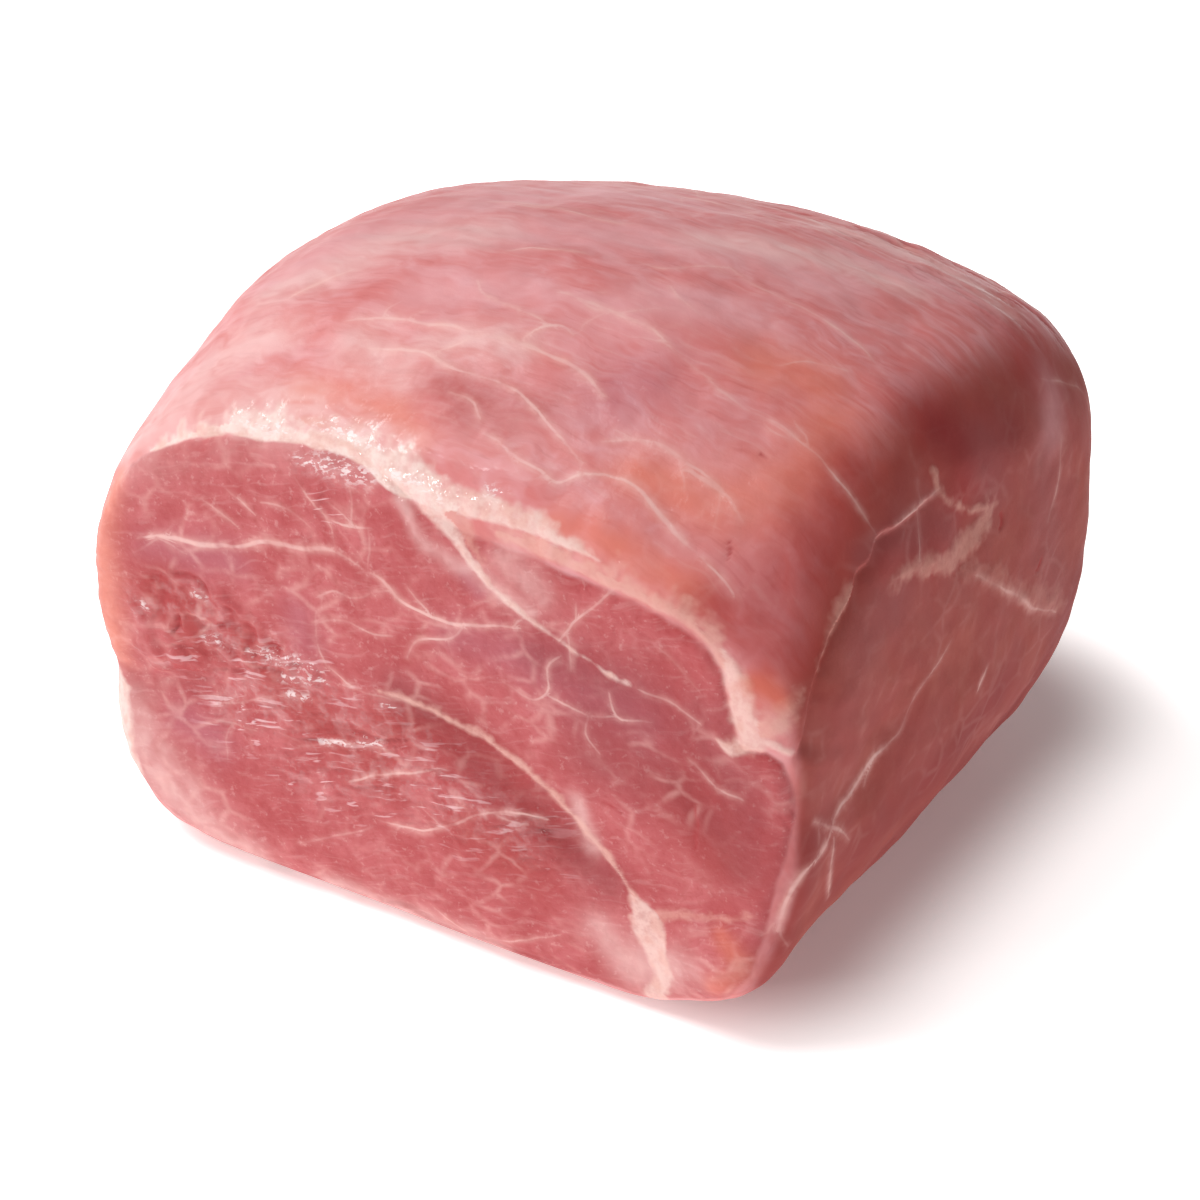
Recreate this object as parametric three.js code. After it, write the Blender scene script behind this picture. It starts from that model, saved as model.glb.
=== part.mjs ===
// A boneless leg of pork: one raw joint, cut across the grain at the front, with its rounded top, sides and
// end still under their thin skin of membrane. Millimetres, +Z up, the cut face looks along -Y, and the
// joint lies on its flat underside with the origin below its middle.
import * as THREE from "three";
import { mergeVertices } from "three/addons/utils/BufferGeometryUtils.js";

// The joint's reach from the middle of its base.
const HALF_WIDTH = 75; // to the fullest part of each side
const HALF_DEPTH = 72.5; // to the cut face in front, and to the rounded end behind
const HEIGHT = 119; // to the crown
const FULLEST = 48; // height at which the sides and the end bulge most

// The crown of the top: its place, the radius of curvature of the top ahead of it and behind it, and to its
// left and right, where that radius changes from the cut to the end.
const CROWN = { x: 5, y: -24, ahead: 60, behind: 125 };
const LEFT_OF_CROWN = { cut: 200, end: 134 };
const RIGHT_OF_CROWN = { cut: 114, end: 270 };

// How far each upright face draws in from its fullest line: at the base, at twice that line's height, and at
// its far ends.
const LEFT = { low: 9, high: 1, end: 6 };
const RIGHT = { low: 22, high: 1, end: 2 };
const END = { low: 15, high: 0.5, sides: 22 };
const CUT = { low: 2.5, high: 0, sides: 1 };

// Radii of the rounded edges.
const LEFT_SHOULDER = 27;
const RIGHT_SHOULDER = { cut: 13, end: 19 };
const END_EDGE = 22;
const BASE_EDGE = 18;
const CUT_EDGE = 4;

// The corner where the top, the right side and the cut meet is draped with fat: the way it faces, how far it
// stands from the middle of the base, and the radius with which it runs into the top and the side.
const DRAPE = { faces: new THREE.Vector3(0.4, -0.85, 0.34).normalize(), reach: 116, edge: 11 };

// Muscles that swell from the smooth form, and a hollow, where the rise is negative: where, how far around
// and how far out.
const SWELLS = [
  { at: [-64, -62, 62], reach: 24, rise: 2 }, // upper left of the cut
  { at: [-56, -66, 12], reach: 22, rise: 2.5 }, // lower left of the cut
  { at: [-34, -72, 8], reach: 20, rise: 1.5 }, // foot of the cut, left
  { at: [8, -72, 8], reach: 24, rise: 1.8 }, // foot of the cut, middle
  { at: [62, -70, 16], reach: 11, rise: 2.5 }, // lower right corner of the cut
  { at: [54, -72, 50], reach: 20, rise: 1.2 }, // right of the cut
  { at: [-5, -72, 74], reach: 26, rise: 1 }, // top of the cut
  { at: [-46, -72, 50], reach: 11, rise: -1.4 }, // torn hollow in the cut
  { at: [66, -68, 76], reach: 9, rise: 1.5 }, // fat on the draped corner
  { at: [-62, -16, 92], reach: 40, rise: 2 }, // left shoulder
  { at: [30, 45, 100], reach: 36, rise: 1.6 }, // right shoulder, towards the end
  { at: [75, -25, 36], reach: 26, rise: 1.4 }, // right side, low
  { at: [74, 18, 66], reach: 24, rise: 1.2 }, // right side, high
  { at: [-20, 70, 74], reach: 30, rise: 1.8 }, // end, high
  { at: [30, 64, 28], reach: 24, rise: 1.5 }, // end, low
];

// Seams between the muscles, which lie lower than the meat on both sides: the way each runs, its width, its
// depth and the length over which it fades in from its ends.
const SEAMS = [
  {
    along: [[-34, -71, 42], [-52, -70, 38], [-68, -71, 33], [-75, -50, 36], [-75, -5, 42]],
    width: 11, depth: 3, fade: 20,
  },
  {
    along: [[-8, -72, 53], [11, -72, 50], [24, -72, 44], [34, -72, 33], [44, -72, 24]],
    width: 14, depth: 1.2, fade: 14,
  },
  { along: [[44, -72, 24], [55, -72, 27], [66, -71, 33]], width: 11, depth: 1.1, fade: 10 },
  { along: [[76, -30, 60], [76, -49, 52], [76, -63, 50], [72, -71, 42]], width: 14, depth: 1.6, fade: 14 },
  { along: [[73, -40, 91], [74, -24, 93], [75, -9, 85], [75, -22, 79]], width: 12, depth: 1.3, fade: 12 },
  { along: [[-42, 60, 92], [-12, 71, 62], [26, 64, 44], [54, 50, 24]], width: 14, depth: 2, fade: 24 },
  { along: [[-70, 36, 84], [-75, 0, 72], [-74, -34, 74]], width: 12, depth: 1.5, fade: 20 },
];

// Lattice cells across the joint's width, height and depth, and the rows that round each end.
const CELLS = { width: 32, height: 26, depth: 34 };
const ROWS = { cut: 3, end: 8 };

const SNAP = 0.02; // a point this near the base lies on it
const LIFT = 8; // height below which swells and seams fade out, so that the underside stays flat
const AXIS_HEIGHT = { cut: 52, end: 32 }; // of the line that the lattice is wrapped around

const square = (t) => t * t;

// Signed distance to two faces that meet in a round edge.
function meet(a, b, radius) {
  const round = Math.hypot(Math.max(radius + a, 0), Math.max(radius + b, 0));
  return Math.min(-radius, Math.max(a, b)) + round;
}

// How far an upright face has drawn in at height z.
function drawnIn(face, z) {
  const t = (z - FULLEST) / FULLEST;
  return (t < 0 ? face.low : face.high) * square(t);
}

// A value that changes evenly from the cut to the end, at a place along the joint.
function between(value, y) {
  return THREE.MathUtils.mapLinear(y, -HALF_DEPTH, HALF_DEPTH, value.cut, value.end);
}

function crownHeight(x, y) {
  const along = y < CROWN.y ? CROWN.ahead : CROWN.behind;
  const across = between(x < CROWN.x ? LEFT_OF_CROWN : RIGHT_OF_CROWN, y);
  return HEIGHT - square(y - CROWN.y) / (2 * along) - square(x - CROWN.x) / (2 * across);
}

const towardsEnd = (y) => Math.max(0, y) / HALF_DEPTH;
const cutAt = (x, z) => -HALF_DEPTH + drawnIn(CUT, z) + CUT.sides * square(x / HALF_WIDTH);
const endAt = (x, z) => HALF_DEPTH - drawnIn(END, z) - END.sides * square(x / HALF_WIDTH);

const topFace = ({ x, y, z }) => 0.93 * (z - crownHeight(x, y));
const leftFace = ({ x, y, z }) => -x - HALF_WIDTH + drawnIn(LEFT, z) + LEFT.end * square(towardsEnd(y));
const rightFace = ({ x, y, z }) => x - HALF_WIDTH + drawnIn(RIGHT, z) + RIGHT.end * square(towardsEnd(y));
const drapedFace = (p) => p.dot(DRAPE.faces) - DRAPE.reach;

function joint(p) {
  let inside = meet(topFace(p), leftFace(p), LEFT_SHOULDER);
  inside = meet(inside, rightFace(p), between(RIGHT_SHOULDER, p.y));
  inside = meet(inside, drapedFace(p), DRAPE.edge);
  inside = meet(inside, p.y - endAt(p.x, p.z), END_EDGE);
  inside = meet(inside, -p.z, BASE_EDGE);
  return meet(inside, cutAt(p.x, p.z) - p.y, CUT_EDGE);
}

// How far back row j of the lattice lies, as a share of the depth. Rows lie closer where the ends are round.
function rowShare(j) {
  const quarter = Math.PI / 2;
  const cutDepth = CUT_EDGE / (2 * HALF_DEPTH);
  const endDepth = END_EDGE / (2 * HALF_DEPTH);
  const fromEnd = CELLS.depth - j;
  if (j <= ROWS.cut) return cutDepth * (1 - Math.cos((quarter * j) / ROWS.cut));
  if (fromEnd <= ROWS.end) return 1 - endDepth * (1 - Math.cos((quarter * fromEnd) / ROWS.end));
  const onTheWay = (j - ROWS.cut) / (CELLS.depth - ROWS.cut - ROWS.end);
  return cutDepth + onTheWay * (1 - cutDepth - endDepth);
}

// A point of the section that lies a share of the depth back, out from the lattice's axis by a reach across
// and up.
function sectionPoint(share, across, up) {
  const z = THREE.MathUtils.lerp(AXIS_HEIGHT.cut, AXIS_HEIGHT.end, share) + up;
  const y = (1 - share) * cutAt(across, z) + share * endAt(across, z);
  return new THREE.Vector3(across, y, z);
}

// The lattice's point for a place on a box that reaches from -1 to 1 each way.
function wrapped(place) {
  const row = Math.round(((place.y + 1) / 2) * CELLS.depth);
  const share = rowShare(row);
  const ring = Math.max(Math.abs(place.x), Math.abs(place.z));
  const across = ring > 0 ? (place.x / ring) * HALF_WIDTH : 0;
  const up = ring > 0 ? (place.z / ring) * (HEIGHT / 2) : 0;
  let near = 0;
  let far = 2;
  for (let step = 0; step < 40; step++) {
    const middle = (near + far) / 2;
    if (joint(sectionPoint(share, middle * across, middle * up)) < 1e-5) near = middle;
    else far = middle;
  }
  return sectionPoint(share, near * ring * across, near * ring * up);
}

// The outward direction at a point of the joint's surface.
function outward(p) {
  const step = 0.05;
  const slope = (x, y, z) => {
    const ahead = joint(new THREE.Vector3(p.x + x, p.y + y, p.z + z));
    return ahead - joint(new THREE.Vector3(p.x - x, p.y - y, p.z - z));
  };
  return new THREE.Vector3(slope(step, 0, 0), slope(0, step, 0), slope(0, 0, step)).normalize();
}

// How deep a seam lies at a point: deepest on its line, and running out at its ends.
function seamDepth(p, seam) {
  let nearest = Infinity;
  let passed = 0; // length of the stretches already gone along
  let placeOnLine = 0;
  for (let i = 0; i + 1 < seam.along.length; i++) {
    const start = new THREE.Vector3(...seam.along[i]);
    const stretch = new THREE.Line3(start, new THREE.Vector3(...seam.along[i + 1]));
    const share = stretch.closestPointToPointParameter(p, true);
    const away = stretch.at(share, new THREE.Vector3()).distanceTo(p);
    if (away < nearest) {
      nearest = away;
      placeOnLine = passed + share * stretch.distance();
    }
    passed += stretch.distance();
  }
  const toEnd = Math.min(placeOnLine, passed - placeOnLine);
  const across = Math.exp(-square((2 * nearest) / seam.width));
  return seam.depth * across * THREE.MathUtils.smoothstep(toEnd, 0, seam.fade);
}

// How far the surface stands out from the smooth form at a point.
function relief(p) {
  let rise = 0;
  for (const swell of SWELLS) {
    const away = new THREE.Vector3(...swell.at).distanceTo(p);
    rise += swell.rise * Math.exp(-square(away / swell.reach));
  }
  for (const seam of SEAMS) rise -= seamDepth(p, seam);
  return rise * THREE.MathUtils.smoothstep(p.z, 0, LIFT);
}

function jointGeometry() {
  const box = new THREE.BoxGeometry(2, 2, 2, CELLS.width, CELLS.depth, CELLS.height);
  box.deleteAttribute("normal");
  box.deleteAttribute("uv");
  const geometry = mergeVertices(box, 1e-3);
  const place = geometry.getAttribute("position");
  for (let i = 0; i < place.count; i++) {
    const p = wrapped(new THREE.Vector3().fromBufferAttribute(place, i));
    p.addScaledVector(outward(p), relief(p));
    if (Math.abs(p.z) < SNAP) p.z = 0;
    place.setXYZ(i, p.x, p.y, p.z);
  }
  geometry.computeBoundingBox();
  const middle = geometry.boundingBox.getCenter(new THREE.Vector3());
  geometry.translate(-middle.x, -middle.y, -geometry.boundingBox.min.z);
  geometry.computeVertexNormals();
  return geometry;
}

const meat = new THREE.MeshStandardMaterial({ color: 0xc87474, roughness: 0.45, metalness: 0 });
meat.name = "raw_pork";
const leg = new THREE.Mesh(jointGeometry(), meat);
leg.name = "pork_leg";

const model = new THREE.Group();
model.add(leg);

export default model;
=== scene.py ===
"""A raw boneless leg of pork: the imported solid, dressed as moist meat with fat, membrane and veins.

Lengths are metres in Blender's objects and millimetres in the relief and the masks.
Landmarks are pixels of the photograph's 1200 x 1200 frame, dropped onto the surface from its camera.
"""

import itertools
import math

import bmesh
import bpy
import numpy as np
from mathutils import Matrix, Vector
from mathutils.bvhtree import BVHTree


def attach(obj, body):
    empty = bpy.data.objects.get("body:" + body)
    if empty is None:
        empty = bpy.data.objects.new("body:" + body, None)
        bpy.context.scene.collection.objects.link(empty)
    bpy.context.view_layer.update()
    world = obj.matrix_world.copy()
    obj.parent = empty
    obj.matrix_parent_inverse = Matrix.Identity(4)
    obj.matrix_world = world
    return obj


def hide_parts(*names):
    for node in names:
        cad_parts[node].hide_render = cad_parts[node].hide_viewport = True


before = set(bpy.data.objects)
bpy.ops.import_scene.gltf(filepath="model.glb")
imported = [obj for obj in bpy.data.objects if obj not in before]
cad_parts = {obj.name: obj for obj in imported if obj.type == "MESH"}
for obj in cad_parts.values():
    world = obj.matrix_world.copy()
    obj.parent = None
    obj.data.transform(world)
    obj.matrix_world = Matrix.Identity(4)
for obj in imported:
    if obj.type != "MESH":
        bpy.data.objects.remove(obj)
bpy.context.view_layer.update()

MM = 0.001
NODE = "pork_leg"

# ---------------------------------------------------------------- camera of the photograph
PHOTO_SIDE = 1200
CAMERA_AIM = np.array([-2.3, -11.6, 41.1])
CAMERA_AZIMUTH = math.radians(31.7)
CAMERA_ELEVATION = math.radians(31.98)
CAMERA_DISTANCE = 800.0
CAMERA_LENS = 127.3
SENSOR = 36.0
FOCAL = CAMERA_LENS / SENSOR * PHOTO_SIDE

BACK = np.array([
    math.sin(CAMERA_AZIMUTH) * math.cos(CAMERA_ELEVATION),
    -math.cos(CAMERA_AZIMUTH) * math.cos(CAMERA_ELEVATION),
    math.sin(CAMERA_ELEVATION),
])
RIGHT = np.array([math.cos(CAMERA_AZIMUTH), math.sin(CAMERA_AZIMUTH), 0.0])
UP = np.cross(BACK, RIGHT)
CAMERA_PLACE = CAMERA_AIM + BACK * CAMERA_DISTANCE


def sight(pixel):
    """The direction from the camera through a pixel of the photograph."""
    middle = PHOTO_SIDE / 2
    ray = RIGHT * (pixel[0] - middle) / FOCAL + UP * (middle - pixel[1]) / FOCAL - BACK
    return ray / np.linalg.norm(ray)


# ---------------------------------------------------------------- small helpers on arrays
def smooth(low, high, value):
    """0 below low, 1 above high and an S curve between them."""
    share = np.clip((value - low) / (high - low), 0, 1)
    return share * share * (3 - 2 * share)


class Noise:
    """Smooth noise in space, about -1 to 1, the same on each run."""

    SIZE = 256

    def __init__(self, seed):
        chance = np.random.default_rng(seed)
        self.order = np.tile(chance.permutation(self.SIZE), 2)
        slopes = chance.normal(size=(self.SIZE, 3))
        self.slopes = slopes / np.linalg.norm(slopes, axis=1, keepdims=True)

    def __call__(self, points):
        cell = np.floor(points).astype(np.int64)
        part = points - cell
        ease = part**3 * (part * (part * 6 - 15) + 10)
        total = np.zeros(len(points))
        for corner in itertools.product((0, 1), repeat=3):
            step = np.array(corner)
            x, y, z = ((cell + step) & (self.SIZE - 1)).T
            slope = self.slopes[self.order[self.order[self.order[x] + y] + z]]
            weight = np.prod(np.where(step, ease, 1 - ease), axis=1)
            total += weight * ((part - step) * slope).sum(axis=1)
        return total * 1.6

    def layers(self, points, count):
        """Several sizes of the noise on top of each other, each half as large as the one before."""
        total = np.zeros(len(points))
        share = 1.0
        for _ in range(count):
            total += share * self(points)
            points = points * 2.03 + 11.7
            share *= 0.5
        return total


def stretched(points, direction, along, across):
    """Noise coordinates with features `along` mm long in a direction and `across` mm wide."""
    direction = np.array(direction) / np.linalg.norm(direction)
    run = points @ direction
    return points / across + np.outer(run * (1 / along - 1 / across), direction)


# ---------------------------------------------------------------- the dense skin
SUBDIVISIONS = 3  # times that each cell of the solid is split in four


def quads_of(mesh):
    """The solid's triangles, welded and paired back into four-sided cells."""
    shape = bmesh.new()
    shape.from_mesh(mesh)
    bmesh.ops.remove_doubles(shape, verts=shape.verts, dist=1e-6)
    bmesh.ops.join_triangles(
        shape, faces=shape.faces, angle_face_threshold=math.pi, angle_shape_threshold=math.pi
    )
    shape.to_mesh(mesh)
    shape.free()


def subdivided(mesh, levels):
    """A rounded, finer copy of a mesh."""
    carrier = bpy.data.objects.new("carrier", mesh)
    bpy.context.scene.collection.objects.link(carrier)
    rounding = carrier.modifiers.new("rounding", "SUBSURF")
    rounding.levels = levels
    rounding.render_levels = levels
    graph = bpy.context.evaluated_depsgraph_get()
    finer = bpy.data.meshes.new_from_object(carrier.evaluated_get(graph))
    bpy.data.objects.remove(carrier)
    return finer


def points_of(mesh):
    points = np.empty(len(mesh.vertices) * 3, np.float32)
    mesh.vertices.foreach_get("co", points)
    return points.reshape(-1, 3).astype(float) / MM


def normals_of(mesh):
    normals = np.empty(len(mesh.vertices) * 3, np.float32)
    mesh.vertex_normals.foreach_get("vector", normals)
    return normals.reshape(-1, 3).astype(float)


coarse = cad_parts[NODE].data.copy()
coarse.name = "coarse"
quads_of(coarse)
skin = subdivided(coarse, SUBDIVISIONS)
skin.name = "pork_leg_skin"
POINTS = points_of(skin)
NORMALS = normals_of(skin)

guide = subdivided(coarse, 1)
GUIDE = BVHTree.FromPolygons(
    [Vector(p) for p in points_of(guide)], [list(face.vertices) for face in guide.polygons]
)


NUDGES = 40
NUDGE_SHARE = 0.01  # of the way to the middle of the photograph


def landed(pixel):
    """Where a pixel of the photograph falls on the meat, and which way the surface faces there.

    A pixel just outside the outline is nudged towards the middle until it lands.
    """
    pixel = np.array(pixel[:2], float)
    middle = np.array([PHOTO_SIDE / 2, PHOTO_SIDE / 2])
    for _ in range(NUDGES):
        place, normal, _, _ = GUIDE.ray_cast(Vector(CAMERA_PLACE), Vector(sight(pixel)))
        if place is not None:
            return np.array(place), np.array(normal)
        pixel += (middle - pixel) * NUDGE_SHARE
    raise ValueError(f"pixel {pixel} misses the meat")


def nearest(place):
    """The surface point nearest to a place in space."""
    spot, normal, _, _ = GUIDE.find_nearest(Vector(place))
    return np.array(spot), np.array(normal)


# ---------------------------------------------------------------- paths over the surface
class Path:
    """A smooth line over the surface with a half width at each point, both in mm."""

    STEP = 1.2
    DRIFT_LENGTH = 6.0
    SHAKE_LENGTH = 2.1
    SHAKE_SHARE = 0.35
    BLOCK = 20000  # how many skin points are measured at once

    def __init__(self, places, normals, halves, wander=0.0, seed=0):
        places = np.array(places)
        halves = np.array(halves)
        normals = np.array(normals)
        gaps = np.linalg.norm(np.diff(places, axis=0), axis=1)
        reach = np.concatenate([[0], np.cumsum(gaps)])
        count = max(2, int(reach[-1] / self.STEP) + 1)
        at = np.linspace(0, reach[-1], count)
        line = self.curve(places, reach, at)
        facing = np.stack([np.interp(at, reach, normals[:, k]) for k in range(3)], axis=1)
        facing /= np.linalg.norm(facing, axis=1, keepdims=True)
        heading = np.gradient(line, axis=0)
        aside = np.cross(facing, heading)
        aside /= np.linalg.norm(aside, axis=1, keepdims=True) + 1e-9
        if wander:
            still = at * 0
            drift = Noise(seed + 7)(np.stack([at / self.DRIFT_LENGTH, still + seed * 1.7, still], axis=1))
            shake = Noise(seed + 9)(np.stack([at / self.SHAKE_LENGTH, still + seed * 2.3, still], axis=1))
            line = line + aside * ((drift + self.SHAKE_SHARE * shake) * wander)[:, None]
        self.line = line
        self.aside = aside
        self.half = np.interp(at, reach, halves)
        self.length = reach[-1]

    @staticmethod
    def curve(places, reach, at):
        """A curve through the places without corners."""
        tangents = np.gradient(places, reach, axis=0)
        spot = np.clip(np.searchsorted(reach, at, side="right") - 1, 0, len(reach) - 2)
        span = (reach[spot + 1] - reach[spot])[:, None]
        t = ((at - reach[spot])[:, None]) / span
        a, b = places[spot], places[spot + 1]
        va, vb = tangents[spot] * span, tangents[spot + 1] * span
        return (
            a * (2 * t**3 - 3 * t**2 + 1) + va * (t**3 - 2 * t**2 + t)
            + b * (3 * t**2 - 2 * t**3) + vb * (t**3 - t**2)
        )

    def near(self, reach):
        """The skin points close to the path, how far off it they are, and how far along it from 0 to 1.

        The distance is above zero on the left of someone who walks along the path.
        """
        low = self.line.min(axis=0) - reach
        high = self.line.max(axis=0) + reach
        close = np.flatnonzero(np.all((POINTS > low) & (POINTS < high), axis=1))
        start, run = self.line[:-1], np.diff(self.line, axis=0)
        length2 = (run**2).sum(axis=1) + 1e-9
        signed = np.empty(len(close))
        way = np.empty(len(close))
        for block in np.array_split(np.arange(len(close)), len(close) // self.BLOCK + 1):
            points = POINTS[close[block]]
            offset = points[:, None, :] - start[None]
            share = np.clip((offset * run).sum(axis=2) / length2, 0, 1)
            offset = offset - share[:, :, None] * run
            gap2 = (offset**2).sum(axis=2)
            best = gap2.argmin(axis=1)
            rows = np.arange(len(block))
            offset = offset[rows, best]
            share = share[rows, best]
            side = np.sign((offset * self.aside[best]).sum(axis=1))
            signed[block] = np.sqrt(gap2[rows, best]) * np.where(side == 0, 1, side)
            way[block] = (best + share) / len(run)
        keep = np.abs(signed) < reach
        return close[keep], signed[keep], way[keep]

    def half_at(self, way):
        return np.interp(way, np.linspace(0, 1, len(self.half)), self.half)


def drawn(points, wander=0.0, seed=0):
    """A path through marks, each with its half width last.

    A mark is a photo pixel (x, y), or on a hidden side a place in mm (x, y, z).
    """
    spots = [nearest(p[:3]) if len(p) == 4 else landed(p) for p in points]
    return Path([s[0] for s in spots], [s[1] for s in spots], [p[-1] for p in points], wander, seed)


VEIN_TIP = 0.45
VEIN_WANDER = 0.45


def tapered(half, points, seed):
    """A vein through photo pixels, thinning out towards both ends."""
    last = len(points) - 1
    widths = [half * (VEIN_TIP if n in (0, last) else 1.0) for n in range(last + 1)]
    return drawn([(x, y, w) for (x, y), w in zip(points, widths)], VEIN_WANDER, seed)


# ---------------------------------------------------------------- the outline of the cut
# Where the flat cut in front ends, clockwise from its lower left, on the plane of the cut.
CUT_PLANE = -71.5
CUT_LEFT = [(118, 690), (109, 655), (92, 600), (91, 570), (96, 527), (108, 488), (128, 463)]
CUT_TOP = [(160, 447), (195, 439), (230, 437), (268, 439), (308, 445), (335, 452), (369, 463), (396, 480)]
CUT_BAND = [(430, 510), (473, 532), (510, 548), (545, 562), (576, 578), (615, 594), (650, 612), (680, 628)]
CUT_CORNER = [(708, 650), (724, 678), (732, 704), (734, 732), (748, 750), (768, 752), (782, 765)]
CUT_RIGHT = [(791, 795), (792, 825), (784, 862), (772, 900), (764, 940), (752, 975), (722, 998)]
CUT_FOOT = [(690, 1003), (640, 1002), (580, 984), (527, 968), (457, 945), (404, 914), (325, 890), (258, 870)]
CUT_HEEL = [(200, 838), (144, 784), (124, 740)]
CUT_OUTLINE = CUT_LEFT + CUT_TOP + CUT_BAND + CUT_CORNER + CUT_RIGHT + CUT_FOOT + CUT_HEEL
CUT_REACH = -60.0  # no point behind this, in mm, can be on the cut
CUT_FADE = 12.0  # depths are cut off at this many mm
CUT_WOBBLE = 0.5
CUT_FACING = 0.35  # a point that faces the front less than this isn't on the cut
CUT_FACING_FADE = 14.0


def on_cut_plane(pixel):
    ray = sight(pixel)
    place = CAMERA_PLACE + ray * (CUT_PLANE - CAMERA_PLACE[1]) / ray[1]
    return place[[0, 2]]


def inside_outline(spots, corners):
    """Signed distance to a closed outline, above zero inside it."""
    gap2 = np.full(len(spots), np.inf)
    crossings = np.zeros(len(spots), int)
    for a, b in zip(corners, np.roll(corners, -1, axis=0)):
        run = b - a
        offset = spots - a
        share = np.clip(offset @ run / (run @ run), 0, 1)
        gap2 = np.minimum(gap2, ((offset - np.outer(share, run))**2).sum(axis=1))
        spans = (a[1] > spots[:, 1]) != (b[1] > spots[:, 1])
        rise = np.where(abs(b[1] - a[1]) < 1e-9, 1e-9, b[1] - a[1])
        crossings += spans & (spots[:, 0] < (b[0] - a[0]) * (spots[:, 1] - a[1]) / rise + a[0])
    return np.sqrt(gap2) * np.where(crossings % 2 == 1, 1, -1)


def cut_depth():
    """How far inside the cut's outline each point is, in mm; below zero on the skin."""
    depth = np.full(len(POINTS), -CUT_FADE)
    front = np.flatnonzero(POINTS[:, 1] < CUT_REACH)
    corners = np.array([on_cut_plane(pixel) for pixel in CUT_OUTLINE])
    inside = inside_outline(POINTS[front][:, [0, 2]], corners)
    wobble = Noise(3).layers(POINTS[front] / 7.0, 2) * CUT_WOBBLE
    depth[front] = np.clip(inside + wobble, -CUT_FADE, CUT_FADE)
    # The skin behind the cut's edge isn't part of it, wherever it is seen from.
    facing = -NORMALS[front, 1]
    depth[front] = np.minimum(depth[front], (facing - CUT_FACING) * CUT_FACING_FADE)
    return depth


CUT = cut_depth()
ON_CUT = smooth(-0.6, 0.6, CUT)


# ---------------------------------------------------------------- fat, as strokes over the surface
FAT_BAND = [
    (150, 450, 0.5), (190, 434, 0.9), (230, 425, 1.8), (262, 426, 2.8), (300, 434, 1.6), (337, 441, 2.2),
    (370, 452, 2.6), (395, 470, 3.6), (420, 486, 3.6), (440, 498, 2.6), (455, 505, 1.2),
]
BAND_TONGUE = [
    (430, 492, 1.6), (462, 503, 2.4), (500, 512, 2.6), (530, 522, 2.2), (560, 538, 1.4), (600, 560, 0.5),
]
BAND_TAIL = [
    (500, 532, 1.2), (545, 547, 2.2), (580, 563, 2.2), (615, 580, 2.0), (650, 598, 1.7), (690, 619, 1.5),
    (712, 643, 1.4), (728, 668, 1.5),
]
BAND_SPECKS = [(290, 420, 1.0), (330, 424, 1.8), (360, 436, 1.8), (385, 446, 1.0)]
BAND_WEB = [(430, 495, 1.5), (452, 515, 2.4), (470, 540, 1.6), (482, 560, 0.6)]
FAT_SEAM = [
    (408, 492, 1.3), (430, 508, 1.7), (450, 528, 1.5), (466, 553, 1.0), (484, 579, 0.9), (503, 596, 0.7),
    (526, 615, 0.5), (560, 640, 0.4), (588, 660, 0.35), (613, 677, 0.3), (630, 685, 0.2),
]
LOWER_SEAM = [
    (380, 690, 0.4), (403, 697, 0.8), (432, 710, 0.8), (469, 730, 0.9), (491, 741, 0.9), (507, 753, 0.8),
    (531, 772, 0.6), (552, 792, 0.8), (567, 808, 1.1), (585, 828, 1.2), (603, 850, 1.1), (622, 873, 0.8),
    (634, 893, 0.9), (642, 910, 1.2),
]
LOWER_PATCH = [
    (634, 896, 0.9), (644, 914, 3.0), (650, 934, 3.6), (658, 956, 2.8), (664, 976, 2.0), (655, 1000, 1.8),
]
NUB_RIM = [(655, 915, 1.4), (690, 914, 0.8), (722, 918, 0.6), (755, 915, 0.5)]
LEFT_STEP = [(116, 672, 0.8), (120, 690, 2.4), (126, 720, 2.8), (132, 752, 2.0), (142, 782, 0.6)]
WEDGE_ROOT = [(724, 652, 1.0), (733, 675, 2.2), (740, 698, 2.7), (745, 718, 3.0), (753, 738, 2.8)]
WEDGE_BODY = [(752, 738, 2.4), (768, 728, 3.0), (784, 716, 2.4), (797, 702, 1.0)]
WEDGE_FOOT = [
    (722, 740, 0.7), (733, 750, 1.3), (745, 742, 1.8), (758, 738, 1.2), (772, 742, 1.2), (790, 752, 0.8),
]
CORNER_FLAKE = [(851, 588, 0.8), (846, 602, 2.0), (838, 620, 1.4), (828, 645, 0.7), (819, 668, 0.4)]
SIDE_TICK = [
    (934, 471, 0.7), (940, 488, 1.2), (944, 497, 0.6), (956, 505, 0.5), (970, 511, 0.6), (987, 506, 1.4),
]
SIDE_BAND = [
    (987, 503, 1.6), (983, 520, 2.2), (968, 545, 2.6), (948, 561, 2.6), (925, 567, 2.0), (897, 580, 1.0),
]
SIDE_HAZE = [(960, 566, 2.5), (1000, 582, 2.5), (1040, 598, 2.5), (1062, 604, 1.5)]
# On the sides that the photo doesn't show.
LEFT_SEAM = [
    (-74, -48, 26, 0.5), (-76, -26, 46, 1.1), (-76, 2, 56, 1.7), (-76, 26, 50, 1.2), (-74, 50, 62, 0.5),
]
LEFT_PATCH = [(-76, -2, 54, 1.0), (-76, 6, 40, 2.0), (-76, 4, 24, 1.4), (-74, 8, 10, 0.6)]
END_BAND = [(-52, 70, 84, 0.5), (-26, 74, 68, 1.5), (4, 74, 58, 2.4), (30, 74, 64, 1.5), (54, 68, 84, 0.5)]
END_SEAM = [(4, 74, 58, 1.2), (9, 74, 40, 1.0), (2, 72, 20, 0.9), (0, 66, 6, 0.5)]
BASE_SEAM = [(-50, -30, 0, 0.6), (-20, -12, 0, 1.8), (12, 6, 0, 2.4), (44, 34, 0, 0.8)]
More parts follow.
